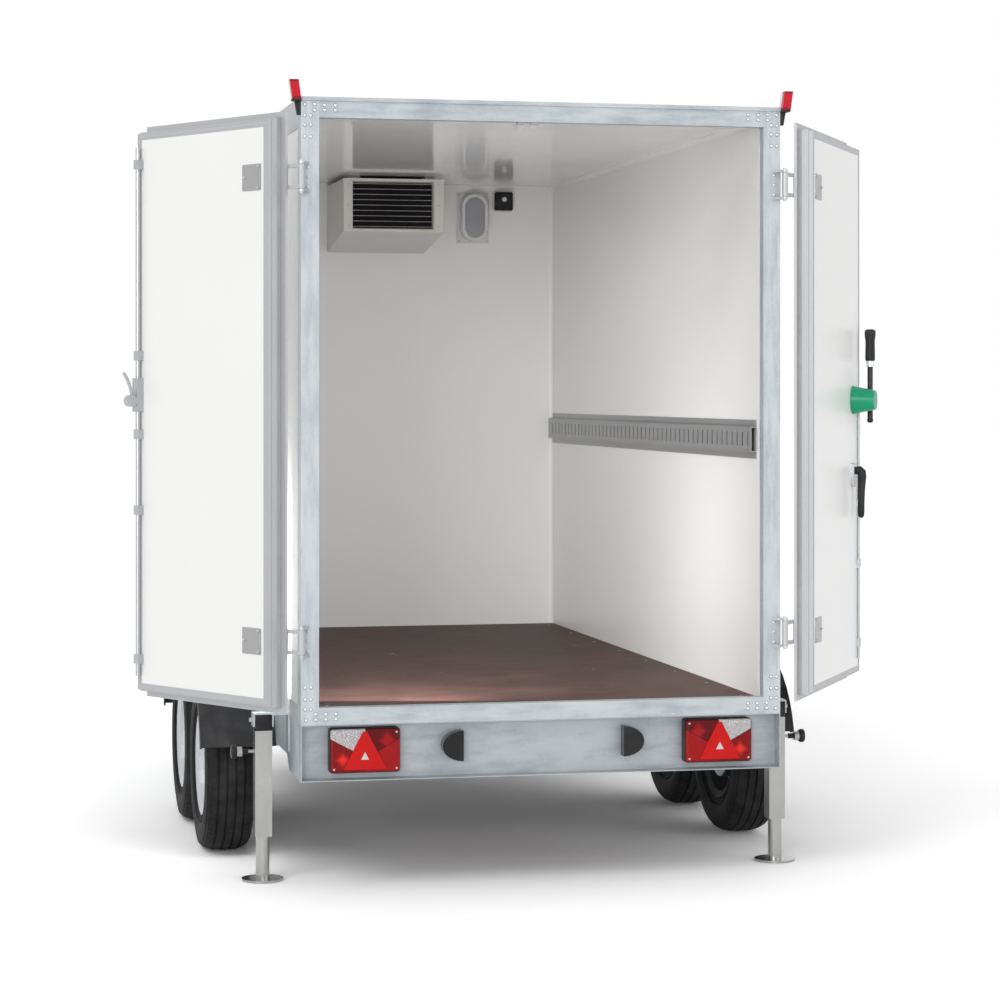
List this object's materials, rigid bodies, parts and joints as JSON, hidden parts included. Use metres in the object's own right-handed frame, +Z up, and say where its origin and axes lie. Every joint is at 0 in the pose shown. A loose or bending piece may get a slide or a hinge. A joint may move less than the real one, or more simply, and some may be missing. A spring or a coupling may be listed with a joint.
{
  "type": "refrigerated trailer",
  "caption": "Insulated box trailer on tandem axles with a galvanised rear portal, double rear doors swung open, roof evaporator, lashing rails, prop legs and jockey wheel.",
  "frame": {"origin": "on the ground under the middle of the trailer's length, on its centreline", "axes": "+Z up, +Y forwards along the drawbar to the coupling, +X to the right seen from behind"},
  "size_m": [2.843, 4.601, 2.77],
  "materials": {
    "white_panel": "satin white",
    "film_faced_board": "film faced, matte",
    "galvanised_steel": "galvanised, dull",
    "aluminium": "anodised, satin",
    "satin_steel": "satin",
    "silver_paint": "satin silver",
    "black_rubber": "matte",
    "black_plastic": "grained",
    "red_lens": "gloss",
    "green_plastic": "satin",
    "cream_housing": "satin",
    "grey_lamp": "matte"
  },
  "bodies": {
    "trailer_body": {"axle_front": "satin_steel", "axle_rear": "satin_steel", "bulkhead_lamp": "grey_lamp", "cargo_rail_left": "silver_paint", "cargo_rail_right": "silver_paint", "chassis_beam_left": "galvanised_steel", "chassis_beam_right": "galvanised_steel", "condensing_unit": "white_panel", "coupling_head": "satin_steel", "crossmember_front": "galvanised_steel", "crossmember_middle": "galvanised_steel", "drawbar_arm_left": "galvanised_steel", "drawbar_arm_right": "galvanised_steel", "evaporator": "cream_housing", "evaporator_grille": "black_plastic", "floor_panel": "film_faced_board", "handbrake_lever": "black_plastic", "jockey_tube": "galvanised_steel", "lamp_beam": "galvanised_steel", "marker_lamp_left": "black_plastic", "marker_lamp_right": "black_plastic", "mudguard_left": "black_plastic", "mudguard_right": "black_plastic", "overrun_device": "satin_steel", "plate_lamp_left": "black_plastic", "plate_lamp_right": "black_plastic", "portal_header": "galvanised_steel", "portal_post_left": "galvanised_steel", "portal_post_right": "galvanised_steel", "portal_sill": "galvanised_steel", "prop_clamp_left": "black_plastic", "prop_clamp_right": "black_plastic", "prop_leg_left": "satin_steel", "prop_leg_right": "satin_steel", "roof_panel": "white_panel", "switch_box": "black_plastic", "tail_lamp_left": "red_lens", "tail_lamp_right": "red_lens", "wall_front": "white_panel", "wall_left": "white_panel", "wall_right": "white_panel"},
    "door_left": {"door_panel_left": "white_panel", "door_frame_left": "aluminium", "door_latch_left": "satin_steel"},
    "door_right": {"door_panel_right": "white_panel", "door_frame_right": "aluminium", "door_bolt_right": "satin_steel", "release_knob_right": "green_plastic", "door_handle_right": "black_plastic"},
    "jockey_fork": {"jockey_fork": "galvanised_steel"},
    "jockey_wheel": {"jockey_wheel": "black_rubber"},
    "wheel_rear_left": {"tyre_rear_left": "black_rubber", "rim_rear_left": "silver_paint"},
    "wheel_rear_right": {"tyre_rear_right": "black_rubber", "rim_rear_right": "silver_paint"},
    "wheel_front_left": {"tyre_front_left": "black_rubber", "rim_front_left": "silver_paint"},
    "wheel_front_right": {"tyre_front_right": "black_rubber", "rim_front_right": "silver_paint"}
  },
  "joints": [
    {"name": "wheel_rear_left_spin", "type": "hinge", "parent": "trailer_body", "child": "wheel_rear_left", "pos_m": [-1.005, -1.2365, 0.325], "axis": [1, 0, 0], "continuous": true},
    {"name": "wheel_rear_right_spin", "type": "hinge", "parent": "trailer_body", "child": "wheel_rear_right", "pos_m": [1.005, -1.2365, 0.325], "axis": [1, 0, 0], "continuous": true},
    {"name": "wheel_front_left_spin", "type": "hinge", "parent": "trailer_body", "child": "wheel_front_left", "pos_m": [-1.005, -0.5075, 0.325], "axis": [1, 0, 0], "continuous": true},
    {"name": "wheel_front_right_spin", "type": "hinge", "parent": "trailer_body", "child": "wheel_front_right", "pos_m": [1.005, -0.5075, 0.325], "axis": [1, 0, 0], "continuous": true},
    {"name": "door_left_swing", "type": "hinge", "parent": "trailer_body", "child": "door_left", "pos_m": [-0.856, -2.2895, 1.652], "axis": [0, 0, -1], "range_deg": [-238.2, 6.8]},
    {"name": "door_right_swing", "type": "hinge", "parent": "trailer_body", "child": "door_right", "pos_m": [0.856, -2.2895, 1.652], "axis": [0, 0, 1], "range_deg": [-238.2, 6.8]},
    {"name": "jockey_swivel", "type": "hinge", "parent": "trailer_body", "child": "jockey_fork", "pos_m": [0.13, 1.9905, 0.3], "axis": [0, 0, 1], "continuous": true},
    {"name": "jockey_wheel_spin", "type": "hinge", "parent": "jockey_fork", "child": "jockey_wheel", "pos_m": [0.13, 1.9455, 0.1], "axis": [1, 0, 0], "continuous": true}
  ]
}
